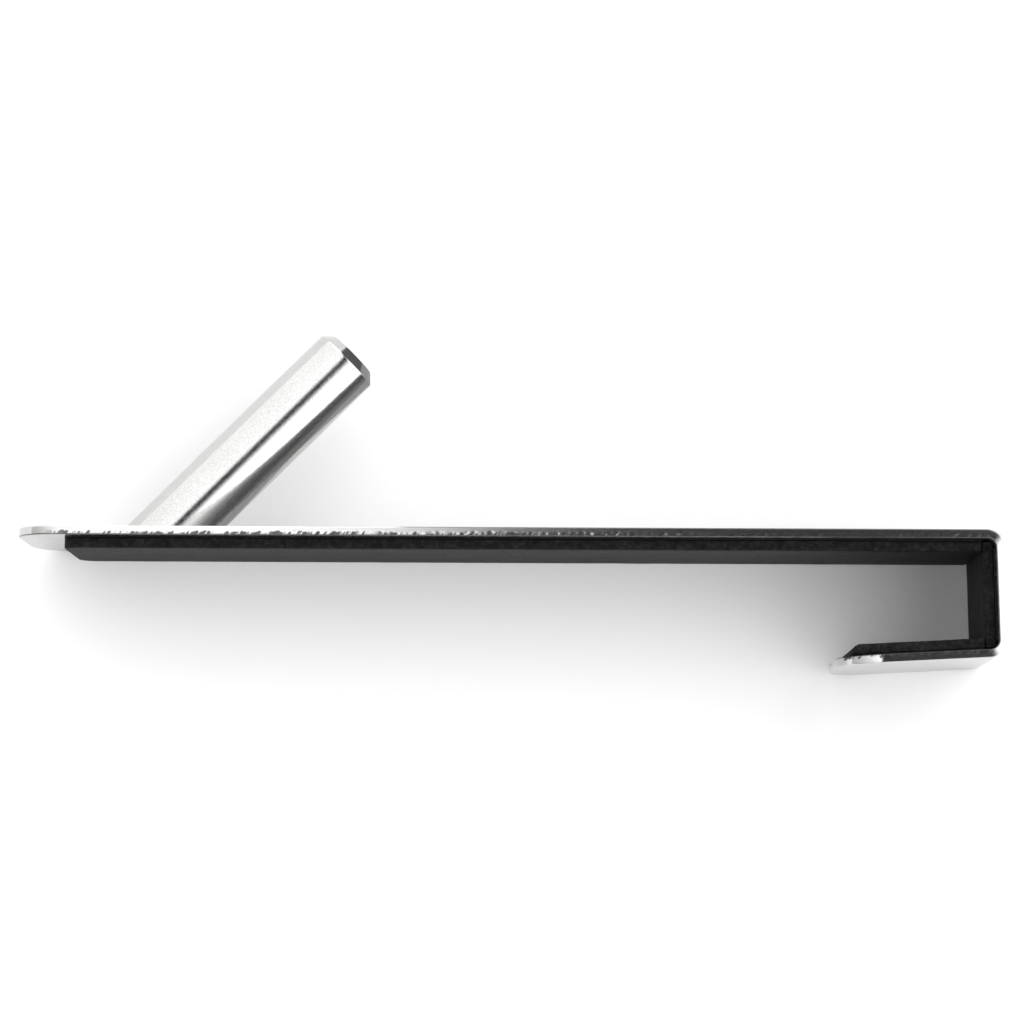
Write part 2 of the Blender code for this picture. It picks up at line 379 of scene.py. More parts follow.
class Graph:
    """Adds nodes to a node tree."""

    def __init__(self, tree):
        self.tree = tree

    def add(self, kind, settings=None, values=None, out=0):
        """A node of this kind. Its settings are set first, then its sockets, by name or by number."""
        node = self.tree.nodes.new(kind)
        for name, value in (settings or {}).items():
            setattr(node, name, value)
        for name, value in (values or {}).items():
            self.feed(node.inputs[name], value)
        return Signal(self, node.outputs[out])

    def feed(self, socket, value):
        if isinstance(value, Signal):
            self.tree.links.new(value.socket, socket)
        elif socket.type == "RGBA" and len(value) == 3:
            socket.default_value = (*value, 1)
        else:
            socket.default_value = value

    def attribute(self, name, out="Fac"):
        return self.add("ShaderNodeAttribute", {"attribute_name": name}, out=out)

    def object_place(self):
        return self.add("ShaderNodeTexCoord", out="Object")

    def split(self, vector):
        """The three parts of a vector."""
        return [self.add("ShaderNodeSeparateXYZ", None, {0: vector}, out=i) for i in range(3)]

    def stretched(self, vector, scale):
        settings = {"operation": "MULTIPLY"}
        return self.add("ShaderNodeVectorMath", settings, {0: vector, 1: scale}, out="Vector")

    def grain(self, vector, scale, detail=3.0, rough=0.55):
        """Noise from 0 to 1. The scale is cycles per metre, one number or one for each axis."""
        spread = scale if isinstance(scale, tuple) else (scale,) * 3
        values = {
            "Vector": self.stretched(vector, spread),
            "Scale": 1.0,
            "Detail": detail,
            "Roughness": rough,
        }
        return self.add("ShaderNodeTexNoise", None, values, out="Fac")

    def cells(self, vector, scale):
        """Distance to the nearest point of a scatter, in cells."""
        values = {"Vector": self.stretched(vector, (scale,) * 3), "Scale": 1.0}
        return self.add("ShaderNodeTexVoronoi", None, values, out="Distance")

    def mixed(self, share_of_second, first, second):
        """A colour between two colours."""
        settings = {"data_type": "RGBA", "blend_type": "MIX", "clamp_factor": True}
        return self.add("ShaderNodeMix", settings, {0: share_of_second, 6: first, 7: second}, out=2)

    def bump(self, height, distance):
        """A normal from a height of 0 to 1, which stands for this distance in metres."""
        values = {"Height": height, "Distance": distance, "Strength": 1.0}
        return self.add("ShaderNodeBump", None, values, out="Normal")


def surface(name, values, build=None):
    """A material with one Principled BSDF. build(graph) returns the sockets that vary over the surface."""
    made = bpy.data.materials.new(name)
    made.use_nodes = True
    graph = Graph(made.node_tree)
    shader = made.node_tree.nodes["Principled BSDF"]
    varying = build(graph) if build else {}
    for socket, value in {**values, **varying}.items():
        graph.feed(shader.inputs[socket], value)
    return made


# ---------------------------------------------------------------------------------------------------------
# Materials
# ---------------------------------------------------------------------------------------------------------


def darker(tone, factor):
    return tuple(part * factor for part in tone)


def brushed_steel(name, tone, face_roughness, edge_roughness, dull_highlight_run):
    """Sheet steel, brushed along its length, with bright cut edges that are torn along one side. Painted
    shade darkens the torn nicks and a thin line where a cut edge turns into the inner face.
    dull_highlight_run is the stretch of run, first and last, where the cut edge is rougher and its colour is
    painted brighter as a highlight."""

    def build(graph):
        place = graph.attribute(GRAIN, "Vector")
        cut = graph.attribute(CUT)
        torn = graph.attribute(TORN)
        streaks = graph.grain(place, BRUSH_LINES, detail=4)
        long_streaks = graph.grain(place, LONG_LINES)
        haze = graph.grain(place, STRAP_HAZE, detail=4, rough=0.6)
        scuffs = graph.grain(place, SCUFFS, detail=5, rough=0.7).step(0.62, 0.78)
        edge_marks = graph.grain(place, EDGE_MARKS, detail=4, rough=0.6)
        run, rise, z = graph.split(place)
        along_tear = {0: run - rise * TEAR_SLANT, 1: rise, 2: z}
        slanted = graph.add("ShaderNodeCombineXYZ", None, along_tear)
        nicks = graph.grain(slanted, NICKS, rough=0.6)
        deep = graph.grain(slanted, DEEP_NICKS, detail=2)
        # The torn nicks are real, but below their colour is darkened as painted shade
        nicks_and_shade = (nicks + (deep - 0.5) * 0.5 + torn * 0.14).step(0.58, 0.68) * torn.step(0.05, 0.4)
        nicks_and_shade = nicks_and_shade * run.step(*SHADED_END)
        # Painted shade: a thin dark line where the cut edge turns into the inner face
        shade_line = rise.step(*PAINTED_SHADE_LINE, 1.0, 0.0) * cut
        sets_in, ends = [(end - DULL_HIGHLIGHT_EASE, end + DULL_HIGHLIGHT_EASE) for end in dull_highlight_run]
        dull_and_highlight = run.step(*sets_in) * run.step(*ends, 1.0, 0.0)

        face_rough = face_roughness + (streaks - 0.5) * 0.16 + (haze - 0.5) * 0.12 + scuffs * 0.1
        edge_rough = edge_roughness + (edge_marks - 0.5) * 0.08 + nicks_and_shade * 0.1 + dull_and_highlight * 0.5
        roughness = face_rough * (1 - cut) + edge_rough * cut

        tint = graph.mixed(long_streaks.step(0.3, 0.7), darker(tone, 0.93), tone)
        worn = graph.mixed(scuffs * (1 - cut) * 0.35, tint, darker(tone, 1.08))
        # Painted highlight: over the bridge and its bends, the cut edge's colour is made 1.5 times brighter
        painted_highlight = graph.mixed(dull_and_highlight * cut, worn, darker(tone, 1.5))
        # Painted shade: the nicks and that line get a nearly black colour that stands in for shade
        with_painted_shade = graph.mixed((nicks_and_shade * (1 - dull_and_highlight) * 0.93).or_more(shade_line * 0.85), painted_highlight, darker(tone, 0.12))

        height = streaks * (1 - cut) * 0.5 + long_streaks * (1 - cut) * 0.3 + edge_marks * cut * 0.1
        return {"Base Color": with_painted_shade, "Roughness": roughness, "Normal": graph.bump(height, BRUSH_HEIGHT)}

    return surface(name, {"Metallic": 1.0}, build)


def ground_steel(name, tone, roughness):
    """Round bar, ground all round, with the fine rings of the wheel and a few handling marks."""

    def build(graph):
        place = graph.attribute(GRAIN, "Vector")
        rings = graph.grain(place, GRINDING_RINGS, rough=0.6)
        speckle = graph.grain(place, PEG_SPECKLE, detail=2)
        haze = graph.grain(place, PEG_HAZE, detail=4)
        marks = graph.grain(place, HANDLING_MARKS, detail=5, rough=0.75).step(0.64, 0.74)
        rough = roughness + (speckle - 0.5) * 0.16 + (haze - 0.5) * 0.06 + marks * 0.08
        clouded = graph.mixed(haze.step(0.3, 0.7), darker(tone, 0.95), tone)
        tint = graph.mixed(speckle.step(0.36, 0.6, 0.3, 0.0), clouded, darker(tone, 0.55))
        height = rings * 0.3 + speckle * 0.7
        return {"Base Color": tint, "Roughness": rough, "Normal": graph.bump(height, PEG_HEIGHT)}

    return surface(name, {"Metallic": 1.0}, build)


def turned_steel(name, tone):
    """A small turned screw: bright, with the tool's marks and a darker film of oil."""

    def build(graph):
        place = graph.object_place()
        marks = graph.grain(place, TURNING_MARKS)
        film = graph.grain(place, OIL_FILM).step(0.35, 0.7)
        tint = graph.mixed(film, darker(tone, 0.7), tone)
        return {
            "Base Color": tint,
            "Roughness": 0.24 + marks * 0.2,
            "Normal": graph.bump(marks, BRUSH_HEIGHT),
        }

    return surface(name, {"Metallic": 1.0}, build)


def foam_skin(name, tone):
    """The smooth skin of closed-cell foam, finely pebbled and a little dusty."""

    def build(graph):
        place = graph.attribute(GRAIN, "Vector")
        pebbles = graph.cells(place, FOAM_PEBBLES)
        swell = graph.grain(place, FOAM_SWELL)
        dust = graph.grain(place, FOAM_DUST, detail=6, rough=0.75).step(0.6, 0.82)
        rub = graph.grain(place, FOAM_RUB, detail=4).step(0.35, 0.75)
        shaded = graph.mixed(rub, darker(tone, 0.8), darker(tone, 1.25))
        dusty = graph.mixed(dust * 0.5, shaded, darker(tone, 3.5))
        height = pebbles * 0.35 + swell * 0.65
        return {
            "Base Color": dusty,
            "Roughness": 0.6 + (pebbles - 0.4) * 0.16 + rub * 0.06,
            "Normal": graph.bump(height, SKIN_HEIGHT),
        }

    return surface(name, {"Specular IOR Level": 0.14}, build)


def foam_side(name, tone, pore_size):
    """The cut side of the foam: opened cells, with pale rims where their walls were sliced."""

    def build(graph):
        place = graph.attribute(GRAIN, "Vector")
        cells = graph.cells(place, 1 / pore_size)
        fine = graph.cells(place, FINE_CELLS / pore_size)
        patches = graph.grain(place, FOAM_PATCHES, detail=4, rough=0.65)
        rims = cells.step(0.45, 0.75) * patches.step(0.4, 0.65)
        shaded = graph.mixed(patches.step(0.3, 0.7), darker(tone, 0.55), darker(tone, 1.7))
        rimmed = graph.mixed(rims * 0.7, shaded, darker(tone, 3.6))
        height = cells * 0.6 + fine * 0.4
        return {
            "Base Color": rimmed,
            "Roughness": 0.78 + (fine - 0.4) * 0.2,
            "Normal": graph.bump(height, CELL_HEIGHT),
        }

    return surface(name, {"Specular IOR Level": 0.12}, build)


def glue_film(name):
    """Thin double-sided film: dark, slightly glossy at its edge, with dust along it."""

    def build(graph):
        place = graph.object_place()
        specks = graph.grain(place, FILM_DUST, detail=5, rough=0.7).step(0.6, 0.78)
        waves = graph.grain(place, FILM_WAVES)
        tint = graph.mixed(specks * 0.4, FILM_COLOUR, FILM_DUST_COLOUR)
        return {
            "Base Color": tint,
            "Roughness": 0.42 + waves * 0.2,
            "Normal": graph.bump(waves, FILM_HEIGHT),
        }

    return surface(name, {"Specular IOR Level": 0.2}, build)


def floor_paper(name, tone):
    """Matt white paper with a barely visible tooth."""

    def build(graph):
        place = graph.object_place()
        tooth = graph.grain(place, PAPER_TOOTH)
        tint = graph.mixed(graph.grain(place, PAPER_CLOUDS, detail=2), darker(tone, 0.99), tone)
        return {"Base Color": tint, "Normal": graph.bump(tooth, PAPER_HEIGHT)}

    return surface(name, {"Roughness": 0.95, "Specular IOR Level": 0.1}, build)


# ---------------------------------------------------------------------------------------------------------
# Mesh tools
# ---------------------------------------------------------------------------------------------------------


class Straight:
    """A straight run of a track, in X and Y."""

    def __init__(self, start, finish, outward):
        self.start = start
        self.along = (finish - start).normalized()
        self.outward = outward
        self.length = (finish - start).length

    def at(self, run, rise):
        return self.start + self.along * run + self.outward * rise


class Bend:
    """A bend of a track, from one side of the hook to the next."""

    def __init__(self, centre, radius, middle, first, second):
        self.centre = centre
        self.radius = radius
        self.first = first.outward
        self.turn = -first.outward.angle_signed(second.outward)
        self.length = abs(self.turn) * (radius + middle)

    def at(self, run, rise):
        outward = Matrix.Rotation(self.turn * run / self.length, 2) @ self.first
        return self.centre + outward * (self.radius + rise)


class Track:
    """The way along a bent sheet, measured along the middle of its thickness."""

    def __init__(self, parts):
        self.parts = parts
        self.length = sum(part.length for part in parts)

    def at(self, run, rise):
        for part in self.parts[:-1]:
            if run <= part.length:
                return part.at(run, rise)
            run -= part.length
        return self.parts[-1].at(run, rise)


def spread(start, finish, pitch):
    """Evenly spaced values from start to finish, both included, about a pitch apart."""
    steps = max(1, round((finish - start) / pitch))
    return [start + (finish - start) * step / steps for step in range(steps + 1)]


def quarter(steps):
    """Cosine and sine at even steps from 0 to 90 degrees."""
    return [(math.cos(math.pi / 2 * i / steps), math.sin(math.pi / 2 * i / steps)) for i in range(steps + 1)]


def rounded_profile(low, high, radius, steps, pitch):
    """(inset, rise) from the inner broad face to the outer one: round, straight, round."""
    bottom = [(radius * (1 - sine), low + radius * (1 - cosine)) for cosine, sine in quarter(steps)]
    middle = [(0.0, rise) for rise in spread(low + radius, high - radius, pitch)[1:-1]]
    top = [(inset, high + low - rise) for inset, rise in reversed(bottom)]
    return bottom + middle + top


def softened(points, radius, steps):
    """A line through 2-D points with its inner corners rounded off."""
    made = [points[0]]
    for before, corner, after in zip(points, points[1:], points[2:]):
        first = corner + (before - corner).normalized() * radius
        last = corner + (after - corner).normalized() * radius
        for i in range(steps + 1):
            part = i / steps
            made.append(first.lerp(corner, part).lerp(corner.lerp(last, part), part))
    return made + [points[-1]]


def eased(distance, reach):
    """How far a round of this reach falls away, from 1 at its end to 0 where it starts, as a share."""
    left = min(max(1 - distance / reach, 0.0), 1.0)
    return 1 - math.sqrt(1 - left * left)


class Slab:
    """A sheet with rounded corners and edges. way is a side or a track: anything that has at(run, rise)."""

    def __init__(self, way, start, finish, half_width, start_radius, finish_radius, pitch, columns):
        self.way = way
        self.columns = columns
        start_corner = [
            (start + start_radius * (1 - cosine), half_width - start_radius * (1 - sine), cosine, -sine)
            for cosine, sine in quarter(CORNER_STEPS)
        ]
        finish_corner = [
            (finish - finish_radius * (1 - cosine), half_width - finish_radius * (1 - sine), -cosine, -sine)
            for cosine, sine in reversed(quarter(CORNER_STEPS))
        ]
        straight = spread(start + start_radius, finish - finish_radius, pitch)[1:-1]
        # Each point is (run, z, inward run, inward z)
        self.lefts = start_corner + [(run, half_width, 0.0, -1.0) for run in straight] + finish_corner

    def outline(self):
        """The whole outline: across the start, along +Z, across the finish, and back along -Z."""
        first, last = self.lefts[0], self.lefts[-1]
        shares = [2 * i / self.columns - 1 for i in range(1, self.columns)]
        across_start = [(first[0], first[1] * part, 1.0, 0.0) for part in shares]
        across_finish = [(last[0], -last[1] * part, -1.0, 0.0) for part in shares]
        rights = [(run, -z, in_run, -in_z) for run, z, in_run, in_z in reversed(self.lefts)]
        return across_start + self.lefts + across_finish + rights

    def build(self, profile, side_material=0, wear=None, lift=None):
        """The bmesh. profile is (inset, rise) from the inner face to the outer one. wear(run, z, rise) is how
        much further in the edge lies, and how torn it is. lift(run, z, rise) moves any point outwards."""
        tools = bmesh.new()
        grain = tools.verts.layers.float_vector.new(GRAIN)
        cut = tools.verts.layers.float.new(CUT)
        torn = tools.verts.layers.float.new(TORN)
        faces = (profile[0][1], profile[-1][1])
        outline = self.outline()

        def add(run, z, rise, tear=0.0):
            point = self.way.at(run, rise + (lift(run, z, rise) if lift else 0.0))
            vertex = tools.verts.new((point.x, point.y, z))
            vertex[grain] = (run, rise, z)
            vertex[cut] = 0.0 if rise in faces else 1.0
            vertex[torn] = tear
            return vertex

        loops = []
        for inset, rise in profile:
            loop = []
            for run, z, in_run, in_z in outline:
                deeper, tear = wear(run, z, rise) if wear and rise not in faces else (0.0, 0.0)
                depth = inset + deeper
                loop.append(add(run + in_run * depth, z + in_z * depth, rise, tear))
            loops.append(loop)
        for loop, above in zip(loops, loops[1:]):
            for i in range(len(loop)):
                made = tools.faces.new((loop[i - 1], loop[i], above[i], above[i - 1]))
                made.material_index = side_material

        for loop, (inset, rise) in ((loops[0], profile[0]), (loops[-1], profile[-1])):
            places = [(run + in_run * inset, z + in_z * inset) for run, z, in_run, in_z in outline]
            rows = self.rows(list(zip(loop, places)), lambda run, z, rise=rise: add(run, z, rise))
            for row, following in zip(rows, rows[1:]):
                for i in range(self.columns):
                    tools.faces.new((row[i], row[i + 1], following[i + 1], following[i]))
        return tools

    def rows(self, loop, add):
        """The vertices of a broad face in rows across it. loop is (vertex, (run, z)) round its outline."""
        spare = self.columns - 1
        count = len(self.lefts)
        across_start = loop[:spare]
        lefts = loop[spare : spare + count]
        across_finish = loop[spare + count : 2 * spare + count]
        rights = loop[2 * spare + count :][::-1]
        rows = [[item[0] for item in [rights[0], *across_start, lefts[0]]]]
        for (left, left_place), (right, right_place) in zip(lefts[1:-1], rights[1:-1]):
            first, last = Vector(right_place), Vector(left_place)
            between = [first.lerp(last, i / self.columns) for i in range(1, self.columns)]
            rows.append([right, *[add(*place) for place in between], left])
        rows.append([item[0] for item in [rights[-1], *across_finish[::-1], lefts[-1]]])
        return rows


def finish_mesh(name, tools, materials, sharp=STEEL_SHARP):
    """Turns the bmesh into an object, smooth between its sharp edges."""
    bmesh.ops.recalc_face_normals(tools, faces=tools.faces)
    mesh = bpy.data.meshes.new(name)
    tools.to_mesh(mesh)
    tools.free()
    mesh.shade_smooth()
    mesh.set_sharp_from_angle(angle=math.radians(sharp))
    for item in materials:
        mesh.materials.append(item)
    made = bpy.data.objects.new(name, mesh)
    bpy.context.scene.collection.objects.link(made)
    return made


def stand_for(made, node):
    """The piece replaces a CAD node, whose own mesh is hidden, and rides on the hook."""
    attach(made, BODY)
    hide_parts(node)
    return made


def ripple(x, y=0.0, z=0.0):
    """Smooth noise from -1 to 1."""
    return noise.noise(Vector((x, y, z)))


# ---------------------------------------------------------------------------------------------------------
# Pieces
# ---------------------------------------------------------------------------------------------------------


def strap_track(thickness, bend_radius):
    """The inner face of the bent steel, from the free end of the long arm to that of the short arm."""
    inner = STRAP_OUTER - thickness
    sides = (LONG, BRIDGE, SHORT)
    parts = []
    start = LONG.at(LONG_END, inner)
    for side, following in zip(sides, sides[1:]):
        centre = meet(side, inner - bend_radius, following, inner - bend_radius)
        parts.append(Straight(start, centre + side.outward * bend_radius, side.outward))
        parts.append(Bend(centre, bend_radius, thickness / 2, side, following))
        start = centre + following.outward * bend_radius
    parts.append(Straight(start, SHORT.at(SHORT_END, inner), SHORT.outward))
    return Track(parts)


def torn_edge(settings):
    """How a sheared edge wears: clean next to the outer face, and torn in waves next to the inner one."""

    def wear(run, z, rise):
        height = rise / settings.thickness
        slanted = (run - rise * TEAR_SLANT) / settings.torn_pitch
        side = math.copysign(3.7, z)
        border = settings.torn_share * (1 + 0.45 * ripple(run / settings.torn_pitch * 1.3, side))
        tear = min(max((border - height) / 0.16, 0.0), 1.0)
        wave = ripple(slanted, side, height * 1.2)
        fine = ripple(slanted * 2.7, side + 9, height * 2)
        depth = settings.torn_depth * tear * (0.7 + wave + 0.4 * fine)
        chip = max(ripple(run * 210, side + 20, height * 0.7) - 0.62, 0.0) * tear
        sway = 0.000004 * (1 + ripple(run * 60, side + 30))
        return max(depth, 0.0) + chip * 0.0006 + sway, tear

    return wear


def drill(made, hole, countersink, thickness):
    """Cuts the countersunk hole for the peg's screw."""
    low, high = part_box("peg_screw")
    depth = (countersink - hole) / 2 + OVERRUN
    tools = bmesh.new()
    bmesh.ops.create_cone(
        tools,
        cap_ends=True,
        segments=HOLE_STEPS,
        radius1=countersink / 2 + OVERRUN,
        radius2=hole / 2,
        depth=depth,
        matrix=Matrix.Rotation(math.radians(-90), 4, "X"),
    )
    inner_face = LONG.at(0, STRAP_OUTER - thickness).y
    centre = Vector(((low.x + high.x) / 2, inner_face - OVERRUN + depth / 2, 0))
    bmesh.ops.translate(tools, verts=tools.verts, vec=centre)
    cutter = finish_mesh("countersink", tools, [])
    modifier = made.modifiers.new("Countersink", "BOOLEAN")
    modifier.operation = "DIFFERENCE"
    modifier.solver = "EXACT"
    modifier.object = cutter
    evaluated = made.evaluated_get(bpy.context.evaluated_depsgraph_get())
    cut_mesh = bpy.data.meshes.new_from_object(evaluated)
    made.modifiers.clear()
    made.data = cut_mesh
    bpy.data.objects.remove(cutter, do_unlink=True)


def foam_materials(settings):
    skin = surface_named("Foam skin", foam_skin, tuple(settings.face_colour))
    side = surface_named("Foam cut side", foam_side, tuple(settings.side_colour), settings.pore_size)
    return [skin, side]


def surface_named(name, maker, *values):
    """The material of this name, made the first time that it is asked for."""
    return bpy.data.materials.get(name) or maker(name, *values)


def foam_strip(node, way, start, finish, radii, settings, press):
    """A strip of foam with a skin and cut sides. press(run, rise) is how far it is pressed outwards there."""
    slab = Slab(way, start, finish, FOAM_HALF_WIDTH, *radii, pitch=FOAM_PITCH, columns=FOAM_COLUMNS)
    profile = rounded_profile(0, FOAM_BACK, settings.edge_round, ARRIS_STEPS, FOAM_LAYER)

    def lift(run, z, rise):
        front = 1 - rise / FOAM_BACK
        swell = 0.5 + 0.5 * ripple(run * 190, z * 160, rise * 300)
        return press(run, rise) + front * settings.unevenness * swell

    def wear(run, z, rise):
        frayed = 0.5 + 0.5 * ripple(run * 700, z * 20, rise * 1500)
        wavy = 0.5 + 0.5 * ripple(run * 130, z * 20)
        return settings.unevenness * (frayed + wavy), 0.0

    tools = slab.build(profile, side_material=1, wear=wear, lift=lift)
    made = finish_mesh(node + "_strip", tools, foam_materials(settings), sharp=SOFT_SHARP)
    stand_for(made, node)
    return made


class HOOK_OT_strap(bpy.types.Operator):
    """Bends the steel strap and brushes it"""

    bl_idname = "hook.strap"
    bl_label = "Steel strap"

    def execute(self, context):
        settings = context.scene.hook_strap
        track = strap_track(settings.thickness, settings.bend_radius)
        corners = (settings.corner_radius, settings.corner_radius)
        slab = Slab(
            track, 0, track.length, STRAP_HALF_WIDTH, *corners, pitch=STRAP_PITCH, columns=STRAP_COLUMNS
        )
        profile = rounded_profile(0, settings.thickness, settings.edge_round, EDGE_STEPS, STRAP_LAYER)
        tools = slab.build(profile, wear=torn_edge(settings))
        long_arm, first_bend, bridge, last_bend, short_arm = [part.length for part in track.parts]
        # The stretch over the bridge where the cut edge is rougher and carries a painted highlight
        dull_highlight_run = (long_arm + first_bend * 0.7, track.length - short_arm - last_bend * 0.3)
        roughness = (settings.face_roughness, settings.edge_roughness)
        look = brushed_steel("Brushed strap", tuple(settings.colour), *roughness, dull_highlight_run)
        made = finish_mesh("steel_strap", tools, [look])
        drill(made, settings.hole, settings.countersink, settings.thickness)
        stand_for(made, "hook_strap")
        return {"FINISHED"}


class HOOK_OT_foam(bpy.types.Operator):
    """Cuts the three foam strips to length"""

    bl_idname = "hook.foam"
    bl_label = "Foam strips"

    def execute(self, context):
        settings = context.scene.hook_foam
        square = settings.edge_round * 1.5

        def butt(side):
            """The furthest run of a strip on this side that leaves the seam at the bridge's strip."""
            ends = [meet(side, rise, BRIDGE, -settings.seam) for rise in (0, FOAM_BACK)]
            return [(end - side.point).dot(side.along) for end in ends]

        def flat(run, rise):
            return 0.0

        long_start = LONG.measure("long_foam")[0][0]
        foam_strip(
            "long_foam", LONG, long_start, min(butt(LONG)), (settings.corner_radius, square), settings, flat
        )

        low, high = BRIDGE.measure("bridge_foam")

        def pressed(run, rise):
            """The back corners are pressed round inside the bends."""
            falls = eased(run - low[0], settings.back_round) + eased(high[0] - run, settings.back_round)
            return -settings.back_round * falls * rise / FOAM_BACK

        foam_strip("bridge_foam", BRIDGE, low[0], high[0], (square, square), settings, pressed)

        short_end = SHORT.measure("short_foam")[1][0]

        def rolled(run, rise):
            """The free end is rounded over, towards the steel."""
            fall = eased(short_end - run, settings.end_round_length)
            return settings.end_round_height * fall * (1 - rise / FOAM_BACK)

        foam_strip(
            "short_foam", SHORT, max(butt(SHORT)), short_end, (square, settings.end_corner), settings, rolled
        )
        return {"FINISHED"}


class HOOK_OT_film(bpy.types.Operator):
    """Finishes the adhesive films behind the foam"""

    bl_idname = "hook.film"
    bl_label = "Adhesive films"

    def execute(self, context):
        look = glue_film("Adhesive film")
        for node in ("long_film", "bridge_film", "short_film"):
            repaint(node, look)
        return {"FINISHED"}


class HOOK_OT_screw(bpy.types.Operator):
    """Finishes the screw that holds the peg"""

    bl_idname = "hook.screw"
    bl_label = "Peg screw"

    def execute(self, context):
        repaint("peg_screw", turned_steel("Turned screw", SCREW_COLOUR))
        return {"FINISHED"}


def repaint(node, look):
    """Gives every material slot of a CAD node this material."""
    for item in frame["nodes"][node].material_slots:
        item.material = look


class HOOK_OT_peg(bpy.types.Operator):
    """Turns the slanting peg, with its foot cut to the strap"""

    bl_idname = "hook.peg"
    bl_label = "Peg"

    def execute(self, context):
        settings = context.scene.hook_peg
        tools = peg_mesh(settings)
        look = ground_steel("Ground peg", tuple(settings.colour), settings.roughness)
        made = finish_mesh("round_peg", tools, [look], sharp=SOFT_SHARP)
        stand_for(made, "peg")
        return {"FINISHED"}


def peg_mesh(settings):
    """The peg as rings: the blind hole in its foot, the foot, the round surface, the chamfer and the end."""
    low, high = PEG_BOX
    radius = (high.z - low.z) / 2
    cosine, sine = math.cos(settings.angle), math.sin(settings.angle)
    strap_level = LONG.at(0, STRAP_OUTER).y
    foot_rise = low.y - strap_level
    foot = Vector((low.x - foot_rise * cosine / sine + radius / sine, strap_level, 0))
    along = Vector((cosine, sine, 0))
    across = Vector((sine, -cosine, 0))
    up = Vector((0, 0, 1))
    tip = (high.y - strap_level - radius * cosine) / sine + settings.chamfer

    tools = bmesh.new()
    grain = tools.verts.layers.float_vector.new(GRAIN)
    angles = [2 * math.pi * i / PEG_STEPS for i in range(PEG_STEPS)]
    turns = [(math.cos(angle), math.sin(angle)) for angle in angles]

    def add(place, travel):
        vertex = tools.verts.new(place)
        offset = place - foot
        vertex[grain] = (travel, offset.dot(across), offset.z)
        return vertex

    def ring(distance, ring_radius, travel):
        return [
            add(foot + along * distance + (across * x + up * z) * ring_radius, travel) for x, z in turns
        ]

    def slanted(part):
        """A ring part of the way from the foot, which is cut to the strap, to the shoulder."""
        made = []
        for x, z in turns:
            start = (settings.foot_gap + radius * x * cosine) / sine
            distance = start + (shoulder - start) * part
            made.append(add(foot + along * distance + (across * x + up * z) * radius, distance))
        return made

    def hole(depth, hole_radius):
        level = settings.foot_gap + depth
        return [add(foot + Vector((x * hole_radius, level, z * hole_radius)), 0.0) for x, z in turns]

    corners = [
        Vector((radius, tip - settings.chamfer - 3 * settings.arris_round)),
        Vector((radius, tip - settings.chamfer)),
        Vector((radius - settings.chamfer, tip)),
        Vector((radius * 0.5, tip)),
    ]
    line = softened(corners, settings.arris_round, EDGE_STEPS)
    shoulder = line[0].y
    hole_radius = settings.screw_hole / 2
    point_depth = settings.screw_hole_depth + hole_radius * math.tan(DRILL_POINT)

    rings = [hole(settings.screw_hole_depth, hole_radius), hole(0.0, hole_radius)]
    rings += [slanted(part) for part in spread(0, 1, PEG_RING_SHARE)]
    travel = shoulder
    for before, point in zip(line, line[1:]):
        travel += (point - before).length
        rings.append(ring(point.y, point.x, travel))
    for first, second in zip(rings, rings[1:]):
        for i in range(PEG_STEPS):
            tools.faces.new((first[i - 1], first[i], second[i], second[i - 1]))
    ends = (
        (rings[0], foot + Vector((0, settings.foot_gap + point_depth, 0)), 0.0),
        (rings[-1], foot + along * tip, travel + line[-1].x),
    )
    for loop, place, distance in ends:
        centre = add(place, distance)
        for i in range(PEG_STEPS):
            tools.faces.new((loop[i - 1], loop[i], centre))
    return tools


# ---------------------------------------------------------------------------------------------------------
# Stage
# ---------------------------------------------------------------------------------------------------------


class HOOK_OT_stage(bpy.types.Operator):
    """Lays the floor, lights it softly from all round and sets up the camera"""

    bl_idname = "hook.stage"
    bl_label = "Stage"

    def execute(self, context):
        settings = context.scene.hook_stage
        lay_floor(settings)
        stand_card(settings)
        light_room(context.scene, settings)
        place_camera(context.scene, settings)
        context.scene.view_settings.view_transform = "Standard"
        return {"FINISHED"}


def lay_floor(settings):
    tools = bmesh.new()
    half = settings.floor_size / 2
    bmesh.ops.create_grid(tools, x_segments=FLOOR_STEPS, y_segments=FLOOR_STEPS, size=half)
    floor = finish_mesh("floor", tools, [floor_paper("Floor paper", tuple(settings.floor_colour))])
    floor.location.z = FLOOR_LEVEL - FLOOR_GAP


def stand_card(settings):
    """A dark card behind the hook: a part that lies on the floor and one that stands. Only reflections
    show it, so that the steel mirrors something darker than the floor."""
    start, finish = settings.card_start, settings.card_finish
    near = LONG.at(0, STRAP_OUTER).y + FLOOR_GAP
    far = near + settings.card_distance
    low, high = FLOOR_LEVEL + FLOOR_GAP, FLOOR_LEVEL + settings.card_height
    lying = ((start, near, low), (finish / 2, near, low), (finish / 2, far, low), (start, far, low))
    standing = ((start, far, low), (finish, far, low), (finish, far, high), (start, far, high))
    tools = bmesh.new()
    for corners in (lying, standing):
        tools.faces.new([tools.verts.new(corner) for corner in corners])

    def shaded(graph):
        height = graph.split(graph.object_place())[2]
        fading = height.step(low + settings.card_height * CARD_FULL, high, settings.card_tone, 1.0)
        on_floor = height.step(low, low + FLOOR_GAP, settings.lying_tone, 0.0)
        grey = fading.or_more(on_floor)
        return {"Emission Color": graph.add("ShaderNodeCombineColor", None, dict(enumerate([grey] * 3)))}

    values = {"Base Color": (0, 0, 0), "Roughness": 1.0, "Specular IOR Level": 0.0, "Emission Strength": 1.0}
    card = finish_mesh("dark_card", tools, [surface("Dark card", values, shaded)])
    card.visible_camera = False
    card.visible_diffuse = False
    card.visible_shadow = False
    card.visible_transmission = False


